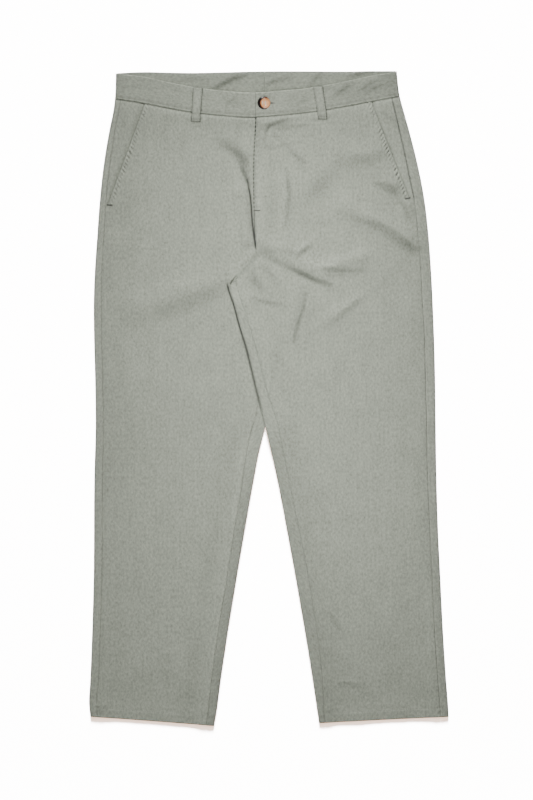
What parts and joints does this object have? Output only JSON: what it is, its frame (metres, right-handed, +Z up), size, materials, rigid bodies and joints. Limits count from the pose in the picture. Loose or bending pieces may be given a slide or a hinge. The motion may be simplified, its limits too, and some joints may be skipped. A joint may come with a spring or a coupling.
{
  "type": "corduroy trousers",
  "caption": "Men's needlecord trousers laid flat, with slanted hip pockets, fly front, belt loops and a buttoned waistband.",
  "frame": {"origin": "middle of the laid-out trousers' outline, on the surface that they lie on", "axes": "+Y along the legs towards the waistband, +Z up out of the surface with the garment's front upwards, +X towards the wearer's left leg"},
  "size_m": [0.5582, 1.0156, 0.0156],
  "materials": {
    "corduroy": "sage grey-green needlecord with fine soft wales and a faint nap sheen",
    "button": "mottled brown horn-effect resin with a dark rim and a lighter tan middle"
  },
  "bodies": {
    "root": {"back_right": "corduroy", "back_left": "corduroy", "front_right": "corduroy", "front_left": "corduroy", "hip_facing_right": "corduroy", "hip_facing_left": "corduroy", "waistband_right": "corduroy", "waistband_left": "corduroy", "belt_loop_front_right": "corduroy", "belt_loop_front_left": "corduroy", "belt_loop_back_right": "corduroy", "belt_loop_back_centre": "corduroy", "belt_loop_back_left": "corduroy", "button": "button"}
  },
  "joints": []
}
